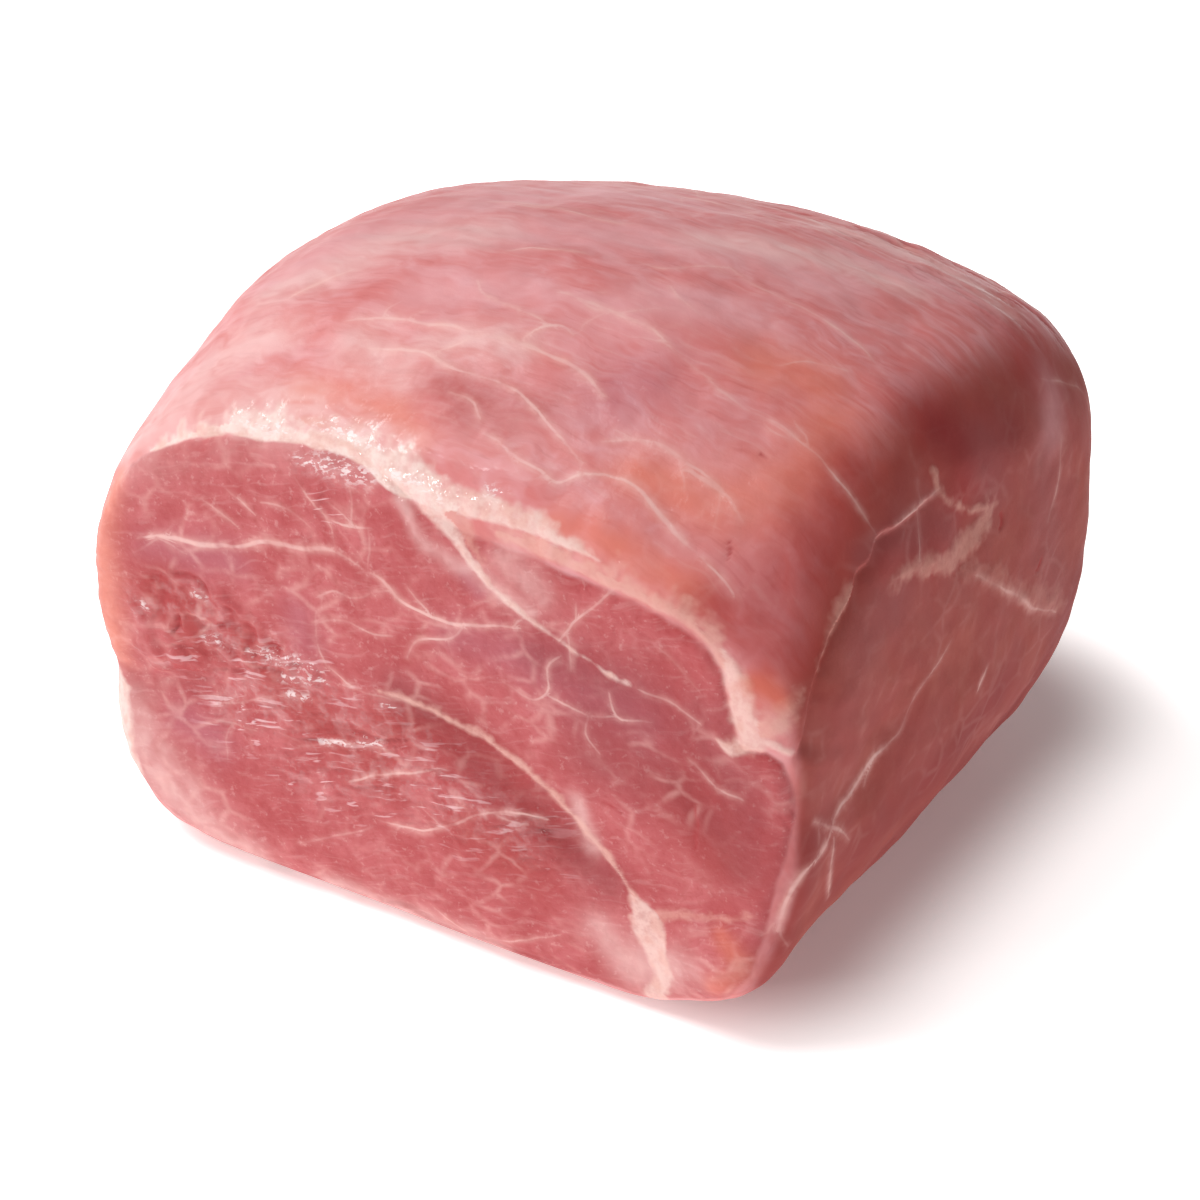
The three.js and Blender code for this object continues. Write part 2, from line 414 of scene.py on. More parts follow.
# Each stroke, how soft its lower and its upper border are in mm, and how much it hides the lean meat.
FAT_STROKES = [
    (FAT_BAND, 0.5, 3.2, 0.92), (BAND_TONGUE, 0.9, 1.6, 0.80), (BAND_TAIL, 1.0, 2.6, 0.62),
    (BAND_SPECKS, 2.0, 2.6, 0.60), (BAND_WEB, 2.0, 2.0, 0.45), (FAT_SEAM, 0.9, 0.9, 0.80),
    (LOWER_SEAM, 0.9, 1.2, 0.66), (LOWER_PATCH, 1.2, 1.2, 0.78), (NUB_RIM, 1.2, 1.2, 0.45),
    (LEFT_STEP, 1.4, 1.4, 0.85), (WEDGE_ROOT, 1.2, 1.6, 0.75), (WEDGE_BODY, 2.2, 2.2, 0.62),
    (WEDGE_FOOT, 0.9, 1.2, 0.75), (CORNER_FLAKE, 1.8, 1.2, 0.48), (SIDE_TICK, 1.2, 1.2, 0.50),
    (SIDE_BAND, 2.2, 2.2, 0.45), (SIDE_HAZE, 3.0, 3.0, 0.20), (LEFT_SEAM, 1.2, 1.6, 0.66),
    (LEFT_PATCH, 1.8, 1.8, 0.45), (END_BAND, 1.4, 2.2, 0.66), (END_SEAM, 1.2, 1.2, 0.55),
    (BASE_SEAM, 1.6, 1.6, 0.60),
]


STROKE_WANDER = 0.3  # how far a stroke strays from its points, in mm
FRAY_BELOW = 0.45  # the lower border of a stroke is less ragged than its upper one
THINNEST_FAT = 0.35  # a stroke thinner than this, in mm to each side, fades


def fat_level():
    """How far inside fat each point is, from 0 to 1, and how much that fat hides the lean meat."""
    level = np.zeros(len(POINTS))
    hiding = np.zeros(len(POINTS))
    ragged = Noise(21).layers(POINTS / 4.0, 3) * 0.34 + Noise(22)(POINTS / 1.5) * 0.20
    for seed, (points, soft_below, soft_above, strength) in enumerate(FAT_STROKES):
        path = drawn(points, STROKE_WANDER, seed)
        close, signed, way = path.near(path.half.max() + soft_above * 2 + 2)
        half = path.half_at(way)
        soft = np.where(signed > 0, soft_above, soft_below)
        frayed = ragged[close] * np.where(signed > 0, 1.0, FRAY_BELOW)
        value = 0.5 + (half - np.abs(signed)) / soft / 2 + frayed
        value = np.clip(np.minimum(value, half / THINNEST_FAT), 0, 1)
        share = value * strength
        better = share > level[close] * hiding[close]
        level[close[better]] = value[better]
        hiding[close[better]] = strength
    return level, hiding


FAT, FAT_HIDES = fat_level()


# ---------------------------------------------------------------- soft tints, several of them painted shade, glow and sheen
def tint(strokes, softness):
    """A soft cloud along each stroke of (x, y, half width in mm), from 0 to 1."""
    level = np.zeros(len(POINTS))
    for seed, points in enumerate(strokes):
        path = drawn(points, 1.0, seed)
        close, signed, way = path.near(path.half.max() * 2 + softness)
        level[close] = np.maximum(level[close], np.exp(-((signed / path.half_at(way))**2)))
    return level


TINT_STROKES = {
    "peach": [
        [(300, 390, 4), (370, 400, 4), (420, 440, 3)],
        [(560, 520, 3), (610, 545, 4), (690, 590, 4)],
        [(640, 470, 5), (730, 500, 7), (800, 480, 8), (830, 420, 7)],
        [(760, 360, 6), (820, 380, 7)],
        [(725, 935, 2), (740, 960, 3), (715, 985, 2)],
    ],
    # The salmon border on the cut's left: partly its own tone, partly a painted glow of light through the
    # thin edge.
    "rim_glow": [
        [(120, 478, 2.5), (108, 510, 3.5), (103, 560, 4.5), (108, 610, 4.5), (122, 655, 3.0)],
    ],
    "ember": [
        [(752, 684, 2.0), (765, 690, 3.2), (778, 700, 2.2)],
    ],
    # Partly the meat's own deeper red, partly painted shade on the right shoulder and in the dark corner by
    # the ridge.
    "deep": [
        [(850, 470, 7), (820, 550, 10), (780, 600, 9), (790, 650, 8)],
        [(-40, 74, 40, 12), (-10, 74, 30, 12), (24, 74, 36, 12)],
        [(-70, 30, 84, 9), (-74, 0, 76, 10), (-72, -30, 84, 8)],
        [(-40, 10, 0, 20), (10, -20, 0, 20), (40, 10, 0, 16)],
        [(930, 420, 9), (970, 450, 9), (945, 535, 6), (890, 552, 5)],
        [(1000, 300, 9), (1030, 360, 8)],
        [(150, 592, 4), (163, 578, 5), (165, 612, 3)],
        [(180, 600, 6), (200, 640, 6)],
        [(385, 725, 5), (440, 730, 6), (480, 760, 6), (560, 840, 5)],
        [(520, 860, 8), (470, 830, 6)],
        [(690, 800, 7), (720, 860, 7)],
        [(470, 400, 6), (520, 420, 6), (440, 380, 4)],
        [(700, 606, 4), (745, 618, 6), (772, 600, 6)],
        [(745, 640, 5), (775, 652, 7)],
        [(250, 640, 5), (310, 715, 7), (375, 765, 7)],
    ],
    # Painted shade where the meat lies in shadow.
    "shade": [
        [(540, 655, 5), (580, 670, 7), (640, 700, 9), (690, 740, 9), (740, 800, 8), (745, 860, 8)],
        [(600, 735, 9), (680, 790, 9), (720, 830, 7)],
        [(590, 755, 7), (640, 775, 8)],
        [(400, 690, 5), (460, 740, 6), (500, 790, 6), (560, 840, 6), (610, 880, 5)],
        [(840, 880, 9), (870, 840, 9), (930, 780, 9), (1000, 690, 8)],
        [(940, 430, 6), (985, 460, 8), (1010, 430, 8)],
        [(806, 850, 6), (785, 930, 6), (762, 980, 5)],
        [(1075, 580, 5), (1060, 640, 6), (1020, 720, 7), (960, 790, 7), (900, 850, 7)],
        [(590, 715, 6), (640, 722, 7), (700, 720, 7)],
        [(-76, 30, 30, 10), (-76, -10, 36, 9), (-74, -40, 20, 8)],
        [(-30, 74, 52, 8), (0, 74, 44, 9), (40, 74, 48, 9)],
    ],
    # Painted shade on the right side, which faces away from the light, and in the dark line beside the
    # ridge.
    "mauve_shade": [
        [(862, 553, 3), (885, 545, 4), (915, 535, 6), (950, 528, 5)],
        [(1040, 480, 6), (1052, 560, 8), (1060, 630, 6)],
        [(870, 640, 8), (900, 600, 6)],
        [(985, 440, 6), (990, 500, 6)],
    ],
    "violet": [
        [(455, 640, 4), (520, 655, 6), (580, 690, 7), (640, 715, 6)],
        [(150, 550, 4), (190, 555, 5), (235, 560, 4)],
        [(300, 615, 4), (305, 640, 4)],
        [(465, 575, 2), (478, 590, 2)],
        [(-76, 10, 66, 7), (-76, -20, 58, 7)],
        [(-40, 72, 80, 8), (10, 74, 74, 8)],
        [(610, 400, 6), (640, 380, 7)],
        [(180, 720, 4), (215, 740, 5)],
    ],
    # Partly a pale veil of membrane, partly a painted soft sheen along the top.
    "bloom_and_sheen": [
        [(300, 270, 9), (400, 225, 11), (520, 195, 11), (650, 195, 10)],
        [(540, 230, 9), (640, 235, 10), (740, 255, 9), (830, 285, 8)],
        [(640, 300, 7), (740, 310, 7)],
        [(430, 290, 8), (520, 290, 8)],
        [(450, 235, 9), (530, 232, 9)],
        [(860, 262, 7), (940, 285, 7)],
        [(1045, 380, 5), (1052, 430, 5)],
    ],
    # Pale membrane, and on the top left also a painted soft highlight.
    "pale": [
        [(130, 440, 7), (180, 400, 9), (225, 355, 8), (285, 330, 5)],
        [(230, 415, 6), (320, 422, 6), (400, 450, 4)],
        [(265, 300, 5), (330, 270, 6), (400, 240, 7), (480, 232, 7)],
        [(360, 345, 6), (400, 370, 5)],
        [(700, 240, 5), (780, 250, 6), (850, 265, 5), (910, 290, 4)],
        [(820, 225, 4), (900, 250, 5), (960, 278, 5), (1005, 310, 4)],
        [(430, 345, 4), (480, 340, 5), (520, 345, 4)],
        [(130, 700, 5), (150, 755, 7), (190, 805, 7), (250, 850, 5)],
        [(330, 885, 3), (420, 915, 3), (500, 945, 3)],
        [(-74, -50, 60, 7), (-74, -20, 84, 7), (-70, 20, 96, 7)],
        [(-50, 68, 60, 7), (-20, 70, 92, 7), (40, 66, 96, 7)],
        [(600, 930, 4), (640, 965, 6), (690, 965, 4)],
        [(400, 500, 1.5), (415, 525, 1.5), (500, 590, 3), (530, 612, 2)],
        [(508, 562, 4), (535, 588, 4)],
        [(200, 405, 6), (260, 402, 6), (310, 405, 5)],
        [(575, 800, 2), (592, 845, 2)],
    ],
    "gloss": [
        [(236, 420, 4), (300, 425, 4), (362, 440, 5), (420, 480, 5), (492, 492, 4)],
        [(300, 462, 3), (340, 468, 4), (372, 480, 3)],
        [(140, 600, 4), (200, 600, 5), (230, 640, 5), (300, 670, 6)],
        [(230, 700, 6), (330, 710, 7), (420, 740, 7)],
        [(300, 770, 6), (420, 780, 8), (520, 830, 7)],
    ],
    # Painted glints: small white marks of wet highlight laid into the colour.
    "glint": [
        [(236, 418, 1.0), (262, 424, 1.4), (290, 432, 1.0)],
        [(318, 424, 0.9), (345, 432, 1.3), (380, 452, 1.0)],
        [(395, 470, 1.0), (425, 486, 1.4), (440, 496, 0.9)],
        [(300, 458, 1.0), (325, 464, 2.0), (352, 471, 2.2), (372, 480, 1.2)],
        [(486, 488, 1.0), (502, 492, 1.0)],
        [(196, 592, 1.0), (203, 596, 1.0)],
        [(208, 637, 1.1), (218, 641, 1.1)],
        [(250, 652, 0.8), (270, 655, 1.3), (298, 661, 1.4), (322, 668, 0.8)],
        [(282, 677, 0.9), (300, 679, 1.3), (326, 681, 0.8)],
        [(290, 694, 0.8), (308, 696, 0.8)],
        [(141, 602, 0.7), (146, 608, 0.7)],
        [(320, 740, 0.6), (345, 743, 0.7), (382, 745, 0.8)],
        [(385, 706, 0.6), (402, 711, 0.7)],
    ],
}
TINT_SOFTNESS = 4
TINTS = {name: tint(strokes, TINT_SOFTNESS) for name, strokes in TINT_STROKES.items()}


# ---------------------------------------------------------------- veins
# Each vein is its half width in mm and the photo pixels that it runs through.
CUT_VEINS = [
    (0.42, [(138, 538), (160, 536), (200, 543), (241, 546), (262, 541), (294, 546), (340, 553), (361, 567)]),
    (0.34, [(361, 567), (383, 581), (401, 600), (423, 613), (455, 624), (484, 624), (520, 627)]),
    (0.20, [(150, 530), (163, 540), (185, 552)]),
    (0.16, [(134, 552), (158, 538), (172, 526)]),
    (0.24, [(296, 478), (313, 503), (326, 519), (337, 551)]),
    (0.20, [(326, 519), (345, 524), (372, 527)]),
    (0.16, [(369, 530), (369, 554), (366, 582)]),
    (0.24, [(464, 626), (450, 638), (416, 641), (408, 657)]),
    (0.22, [(228, 490), (243, 503), (254, 514)]),
    (0.20, [(205, 502), (222, 512), (238, 527)]),
    (0.18, [(262, 502), (285, 507), (310, 527)]),
    (0.20, [(329, 668), (322, 655), (316, 634), (318, 612)]),
    (0.20, [(329, 668), (352, 684), (390, 697)]),
    (0.16, [(318, 622), (350, 622), (368, 632), (392, 636)]),
    (0.14, [(318, 596), (335, 590), (352, 598), (380, 590)]),
    (0.18, [(503, 683), (537, 699), (548, 691), (548, 668), (560, 657)]),
    (0.18, [(548, 694), (566, 703), (588, 713), (618, 716)]),
    (0.16, [(610, 694), (618, 716), (650, 722)]),
    (0.14, [(590, 713), (588, 735), (600, 752)]),
    (0.22, [(380, 820), (426, 829), (452, 825), (473, 816), (517, 812), (548, 818)]),
    (0.16, [(300, 842), (338, 835), (373, 827)]),
    (0.20, [(350, 781), (367, 776), (400, 772), (447, 769)]),
    (0.18, [(300, 745), (340, 742), (382, 745)]),
    (0.20, [(215, 705), (240, 702), (262, 697), (300, 694)]),
    (0.16, [(200, 715), (225, 722), (255, 730)]),
    (0.18, [(560, 640), (575, 622), (600, 600), (612, 588)]),
    (0.16, [(640, 690), (668, 700), (700, 722)]),
    (0.14, [(660, 650), (680, 668), (700, 690)]),
    (0.16, [(480, 960), (520, 940), (560, 935)]),
    (0.14, [(435, 908), (450, 920), (467, 933)]),
    (0.18, [(690, 760), (720, 790), (742, 800)]),
]
TOP_VEINS = [
    (0.42, [(290, 298), (320, 282), (356, 268)]),
    (0.30, [(345, 322), (372, 318), (393, 317), (421, 323), (461, 328), (485, 338)]),
    (0.45, [(485, 338), (517, 342), (553, 356), (573, 365), (592, 382), (604, 396)]),
    (0.30, [(517, 342), (545, 326), (559, 326), (572, 333)]),
    (0.34, [(370, 350), (400, 350), (427, 354), (447, 368), (483, 377)]),
    (0.28, [(483, 377), (517, 390), (539, 413), (560, 438), (583, 463)]),
    (0.28, [(433, 354), (455, 345), (475, 337), (511, 334)]),
    (0.22, [(477, 281), (486, 295), (517, 309), (559, 328)]),
    (0.26, [(567, 292), (590, 306), (618, 314), (640, 322)]),
    (0.22, [(450, 392), (472, 401), (480, 418)]),
    (0.32, [(484, 433), (515, 455), (540, 472), (556, 483), (576, 475), (604, 473)]),
    (0.42, [(604, 473), (630, 483), (649, 503), (663, 520), (677, 537), (691, 549)]),
    (0.22, [(691, 549), (711, 567), (722, 580), (733, 596)]),
    (0.26, [(604, 440), (632, 438), (666, 447), (683, 459), (700, 471), (722, 489), (740, 516)]),
    (0.34, [(560, 294), (605, 308), (630, 320), (653, 329), (674, 353)]),
    (0.24, [(674, 353), (698, 370), (725, 394), (750, 410)]),
    (0.22, [(640, 262), (663, 268), (698, 267), (728, 268)]),
    (0.22, [(728, 268), (753, 284), (801, 308), (835, 329), (860, 346), (884, 373)]),
    (0.20, [(672, 286), (680, 300), (700, 315)]),
    (0.20, [(746, 408), (780, 425), (808, 449), (835, 477), (860, 511), (873, 532)]),
    (0.20, [(615, 430), (640, 442), (674, 456), (698, 477), (725, 497), (742, 520)]),
    (0.18, [(780, 363), (808, 360), (846, 370)]),
    (0.20, [(600, 170), (680, 195), (760, 215), (840, 240)]),
    (0.18, [(760, 415), (775, 432), (792, 440)]),
]
SIDE_VEINS = [
    (0.12, [(951, 640), (934, 668), (918, 691), (899, 732), (886, 748)]),
    (0.42, [(886, 748), (873, 758), (857, 783), (841, 803), (832, 822)]),
    (0.70, [(832, 822), (825, 845), (815, 862)]),
    (0.40, [(815, 822), (832, 828), (850, 840)]),
    (0.45, [(826, 842), (803, 873), (787, 900), (776, 930)]),
    (0.40, [(834, 838), (832, 862), (828, 898)]),
    (0.36, [(984, 668), (980, 678), (976, 690)]),
    (0.30, [(975, 575), (1007, 590), (1029, 605), (1055, 612)]),
    (0.30, [(873, 541), (900, 521), (930, 498), (938, 490)]),
    (0.22, [(918, 480), (922, 520), (921, 560)]),
    (0.24, [(1060, 440), (1058, 480), (1048, 520)]),
]


# Veins on hidden sides: how many, a seed, the middle and spread of where they start in mm, which way
# they run, and their half width in mm.
HIDDEN_VEINS = [
    (8, 5, (-74, 10, 60), (3, 50, 40), (0, 1, 0.4), 0.19),
    (8, 6, (0, 72, 60), (60, 3, 40), (1, 0, 0.3), 0.19),
    (8, 7, (-20, 20, 110), (50, 50, 6), (1, 0, 0), 0.24),
    (9, 8, (0, 0, 0), (55, 55, 1), (1, 0.3, 0), 0.22),
    (4, 9, (70, 50, 55), (3, 20, 40), (0, -0.3, 1), 0.20),
]


def grown_veins(count, seed, middle, spread, run, half):
    """Veins for a side that the photo doesn't show: short crooked walks, mostly along the fibres."""
    chance = np.random.default_rng(seed)
    paths = []
    for n in range(count):
        place, normal = nearest(np.array(middle) + chance.uniform(-1, 1, 3) * np.array(spread))
        heading = np.array(run) + chance.normal(size=3) * 0.35
        heading -= normal * (heading @ normal)
        places, normals = [place], [normal]
        for _ in range(chance.integers(4, 9)):
            heading = heading / np.linalg.norm(heading) + chance.normal(size=3) * 0.22
            place, normal = nearest(place + heading * chance.uniform(3.5, 6.0))
            heading -= normal * (heading @ normal)
            places.append(place)
            normals.append(normal)
        widths = half * chance.uniform(0.6, 1.3) * np.sin(np.linspace(0.35, math.pi - 0.35, len(places)))
        paths.append(Path(places, normals, widths, 0.4, seed * 100 + n))
    return paths


def forks(path, seed):
    """Short side branches, which leave a vein at a slant and taper out."""
    chance = np.random.default_rng(seed + 900)
    found = []
    for _ in range(chance.poisson(path.length / 22.0)):
        at = chance.integers(1, len(path.line) - 1) if len(path.line) > 3 else 1
        heading = path.line[at] - path.line[at - 1]
        heading = heading / np.linalg.norm(heading) * chance.choice((-1, 1))
        heading = heading + path.aside[at] * chance.choice((-1, 1)) * chance.uniform(0.5, 1.3)
        places, normals = [], []
        spot = path.line[at]
        for _ in range(chance.integers(3, 6)):
            place, normal = nearest(spot)
            places.append(place)
            normals.append(normal)
            heading = heading / np.linalg.norm(heading) + chance.normal(size=3) * 0.25
            spot = place + heading * chance.uniform(1.2, 2.6)
        width = path.half[at] * chance.uniform(0.4, 0.75)
        found.append(Path(places, normals, np.linspace(width, width * 0.3, len(places)), 0.2, seed))
    return found


def all_veins():
    paths = []
    for seed, (half, points) in enumerate(CUT_VEINS + TOP_VEINS + SIDE_VEINS):
        vein = tapered(half, points, seed)
        paths.append(vein)
        paths += forks(vein, seed)
    for patch in HIDDEN_VEINS:
        paths += grown_veins(*patch)
    return paths


VEIN_LEAST = 0.24  # the least half width that is drawn, in mm
VEIN_REACH = 4.0  # how far from a vein its softness reaches, in mm
MOST_HALVES = 4.0  # distances are cut off at this many half widths
FAR_OFF = 9.0


def vein_levels(paths):
    """The distance to the nearest vein in half widths, how strongly it shows, and a soft line along it."""
    ratio = np.full(len(POINTS), FAR_OFF)
    shows = np.zeros(len(POINTS))
    soft = np.zeros(len(POINTS))
    wobble = Noise(31)(POINTS / 5.0)
    fading = smooth(-0.45, 0.35, Noise(32)(POINTS / 7.0))
    for path in paths:
        close, signed, way = path.near(VEIN_REACH)
        true_half = path.half_at(way)
        half = np.maximum(true_half * (1 + 0.45 * wobble[close]), VEIN_LEAST)
        bold = smooth(0.20, 0.32, true_half)
        steady = 0.35 + 0.65 * np.maximum(fading[close], bold * 0.8)
        strength = np.minimum(true_half / VEIN_LEAST, 1) * steady
        value = signed / half
        better = np.abs(value) < np.abs(ratio[close])
        ratio[close[better]] = value[better]
        shows[close[better]] = strength[better] * (1 - smooth(1.3, 2.4, np.abs(value[better])))
        blur = np.exp(-(signed / (0.45 + 1.4 * half))**2) * strength
        soft[close] = np.maximum(soft[close], blur)
    return np.clip(ratio, -MOST_HALVES, MOST_HALVES), shows, soft


VEIN_SIDE, VEIN_SHOWS, VEIN_SOFT = vein_levels(all_veins())


# ---------------------------------------------------------------- relief
LOWER_MUSCLE = [
    (116, 670), (200, 672), (300, 660), (385, 694), (473, 734), (505, 754), (558, 797), (605, 848),
    (650, 918),
]
FIBRE_SLOPE = math.radians(17)
FIBRE_ON_CUT = (math.cos(FIBRE_SLOPE), 0.0, math.sin(FIBRE_SLOPE))
TORN_STROKES = [
    [(145, 600, 4), (170, 590, 6), (205, 602, 6), (245, 622, 6), (262, 640, 4)],
    [(190, 655, 4), (250, 662, 5), (310, 676, 4)],
]
# Rounded shreds in the tear, and the deep splits between them.
LUMPS = [
    (198, 605, 2.0), (214, 614, 1.7), (191, 630, 2.4), (232, 631, 2.0), (244, 645, 1.8), (151, 646, 2.8),
    (172, 634, 2.0), (203, 588, 1.5), (226, 652, 1.7), (264, 651, 1.6), (213, 640, 1.5), (178, 655, 2.4),
    (143, 624, 2.0), (262, 633, 1.8), (200, 662, 2.0), (290, 668, 2.2), (183, 609, 1.5), (221, 597, 1.6),
    (240, 612, 1.4), (248, 660, 1.7), (158, 664, 2.0), (136, 606, 1.6), (275, 660, 1.6), (310, 676, 2.0),
]
SPLITS = [
    [(148, 582, 0.6), (158, 577, 1.5), (168, 584, 1.6), (166, 598, 1.4), (158, 612, 1.0), (150, 620, 0.5)],
    [(172, 574, 0.4), (189, 575, 0.9), (204, 584, 0.6), (210, 597, 0.5)],
    [(222, 604, 0.5), (233, 610, 0.9), (226, 621, 0.9), (218, 626, 0.4)],
    [(242, 622, 0.4), (252, 627, 0.9), (252, 640, 0.9), (246, 649, 0.4)],
    [(268, 643, 0.4), (279, 648, 0.9), (279, 656, 0.4)],
    [(176, 612, 0.4), (180, 621, 0.6), (172, 632, 0.3)],
]
# Where the lower muscle has wet strands in its relief and painted glints along them in its colour.
STREAK_STROKES = [
    [(190, 655, 6), (260, 668, 7), (330, 682, 6)],
    [(220, 712, 6), (330, 735, 8), (450, 765, 8)],
    [(300, 770, 7), (420, 800, 9), (540, 840, 8)],
    [(322, 502, 3), (342, 518, 3)],
]
NUB_STROKES = [[(690, 945, 5), (722, 952, 6), (712, 980, 5)]]
CREASES = [
    [(693, 803, 0.2), (697, 822, 0.4), (695, 838, 0.4), (696, 853, 0.2)],
    [(728, 540, 0.2), (730, 550, 0.3), (728, 560, 0.2)],
    [(759, 452, 0.25), (764, 455, 0.3), (769, 458, 0.25)],
    [(1001, 512, 0.4), (1003, 522, 0.5), (999, 532, 0.3)],
    [(1042, 556, 0.3), (1039, 566, 0.5), (1035, 574, 0.3)],
    [(600, 800, 0.25), (612, 806, 0.4), (624, 815, 0.25)],
]


def under_lower_seam():
    """One on the muscle below the lower seam, zero above it."""
    seam = np.array([on_cut_plane(pixel) for pixel in LOWER_MUSCLE])
    order = seam[:, 0].argsort()
    line = np.interp(POINTS[:, 0], seam[order, 0], seam[order, 1])
    return smooth(-1.5, 1.5, line - POINTS[:, 2]) * ON_CUT


# The ridge where the draped top ends over the right side, from its far end to the corner of the cut.
RIDGE = [
    (785, 763, 0.4), (798, 746, 0.9), (807, 715, 1.0), (809, 693, 1.0), (820, 662, 1.0), (833, 627, 1.0),
    (851, 597, 1.0), (855, 575, 1.0), (869, 560, 1.0), (875, 537, 1.0), (899, 524, 0.9), (938, 491, 0.5),
]
# How far each step drops, over how much it recovers, and its lip, in mm.
RIDGE_STEP = (1.5, 11.0, 0.1)
SEAM_STEP = (0.3, 4.0, 0.1)
FLAP_STEP = (0.7, 3.0, 0.2)
# The loose flap along the foot of the cut.
FLAP = [(560, 974, 0.3), (520, 960, 0.8), (482, 946, 1.0), (447, 931, 1.0), (408, 908, 0.9), (370, 898, 0.3)]


def ledge(points, drop, recovery, lip):
    """A step down on the far side of a path that fades out again, with a low lip before it."""
    height = np.zeros(len(POINTS))
    path = drawn(points, 0.5, 77)
    close, signed, way = path.near(recovery * 3)
    share = path.half_at(way)
    ends = smooth(0, 0.08, way) * (1 - smooth(0.92, 1, way))
    below = smooth(-0.2, 0.9, -signed) * np.exp(np.minimum(signed, 0) / recovery)
    above = np.exp(-((np.maximum(signed, 0)) / 3.0)**2) * (1 - smooth(-0.2, 0.9, -signed))
    height[close] = (lip * above - drop * below) * share * ends
    return height


FORM_SOFTNESS = 3
LOWER = under_lower_seam()
TORN = tint(TORN_STROKES, FORM_SOFTNESS) * ON_CUT
STREAK = tint(STREAK_STROKES, FORM_SOFTNESS) * ON_CUT
NUB = tint(NUB_STROKES, FORM_SOFTNESS)
# The right side, by which way it faces: duller, bare of film and calmer, and darkened with painted shade in
# its colour.
SIDE = smooth(0.48, 0.82, NORMALS[:, 0]) * (1 - ON_CUT)

# Heights and depths of the relief in mm.
SWELL = 0.55
SKIN_FIBRES = 0.03
SKIN_BUNDLES = 0.14
FURROWS = 0.04
FURROWS_BEHIND = 0.50
CRACKS = 0.35
CUT_CELLS = 0.09
CUT_GRIT = 0.03
STRANDS = 0.03
STRANDS_LOWER = 0.06
STRANDS_WET = 0.20
NODULES = 0.10
CRUMBS = 0.7
TORN_DEPTH = 0.2
SPLIT_DEPTH = 0.42
FAT_LUMPS = 0.22
FAT_GRAINS = 0.07
FAT_HEIGHT = 0.16
VEIN_HEIGHT = 0.12
NUB_HEIGHT = 0.7
CREASE_DEPTH = 0.25
LUMP_SHARE = 0.32  # a lump's height as a share of its half width
LUMP_SPREAD = 1.35
SIDE_CALM = 0.92  # how much of the fibres the right side lacks


def skin_relief(swell):
    """Long low fibres round the joint under its membrane, with furrows and cracks behind on the top, and a
    mask of painted shade for those furrows and cracks.
    """
    fine = Noise(12)(stretched(POINTS + swell[:, None] * 1.5, (0, 1, 0), 1.5, 16.0))
    furrows = Noise(20).layers(stretched(POINTS + swell[:, None] * 3, (0, 1, 0), 4.2, 26.0), 2)
    bundles = Noise(13)(stretched(POINTS + swell[:, None] * 2, (0, 1, 0), 5.0, 30.0))
    cracks = Noise(24).layers(stretched(POINTS + swell[:, None] * 1.5, (0, 1, 0), 1.5, 10.0), 2)
    behind = smooth(-25, 40, POINTS[:, 0]) * smooth(5, 45, POINTS[:, 1]) * smooth(50, 88, POINTS[:, 2])
    cracks = smooth(0.20, 0.55, -cracks) * behind * (1 - 0.6 * SIDE)
    height = SKIN_FIBRES * fine + SKIN_BUNDLES * bundles - CRACKS * cracks
    height += (FURROWS + FURROWS_BEHIND * behind) * furrows
    return height, np.maximum(cracks, 0.5 * behind * smooth(0.15, 0.6, -furrows))


def cut_relief(swell):
    """Grain of the cut fibres, wet strands on the lower muscle and crumbs where the meat is torn."""
    grain = Noise(14)(POINTS / 2.4)
    cells = CUT_CELLS * np.minimum(1, np.abs(grain) * 3) + CUT_GRIT * Noise(15)(POINTS / 1.1)
    flow = stretched(POINTS + swell[:, None] * 2, FIBRE_ON_CUT, 11.0, 1.7)
    ridges = 1 - np.abs(Noise(16).layers(flow, 2)) * 2.2
    crumbs = np.abs(Noise(17).layers(stretched(POINTS, FIBRE_ON_CUT, 6.0, 4.4), 3))
    crumbs = np.minimum(crumbs, 0.75)
    nodules = np.abs(Noise(23).layers(POINTS / 3.2, 2))
    height = cells * (1 - 0.5 * LOWER) + NODULES * nodules
    height += (STRANDS + STRANDS_LOWER * LOWER + STRANDS_WET * STREAK) * ridges
    splits = hollows(SPLITS)
    height += TORN * (CRUMBS * crumbs - TORN_DEPTH) + domes(LUMPS) * (1 - splits) - SPLIT_DEPTH * splits
    # Painted shade: the splits and the hollows between the crumbs are darkened in the colour.
    gaps = (1 - smooth(0.0, 0.12, crumbs)) * TORN * 0.25 + 0.7 * splits
    return height, gaps


# Shifts the skin points a little, so that the lumps aren't round.
DRIFT = np.stack([Noise(seed).layers(POINTS / 2.8, 2) for seed in (41, 42, 43)], axis=1) * 1.3


def domes(spots):
    """Rounded lumps in mm, each a photo pixel with a half width in mm."""
    height = np.zeros(len(POINTS))
    for x, y, half in spots:
        place, _ = landed((x, y))
        gap = np.linalg.norm(POINTS + DRIFT - place, axis=1)
        height = np.maximum(height, np.clip(1 - (gap / half / LUMP_SPREAD)**2, 0, 1) * half * LUMP_SHARE)
    return height


def hollows(lines):
    """How deep in a narrow split each point is, from 0 to 1."""
    depth = np.zeros(len(POINTS))
    for seed, points in enumerate(lines):
        path = drawn(points, 0.25, seed + 50)
        close, signed, way = path.near(4.0)
        ends = smooth(0, 0.1, way) * (1 - smooth(0.9, 1, way))
        depth[close] = np.maximum(depth[close], np.exp(-((signed / path.half_at(way))**2)) * ends)
    return depth


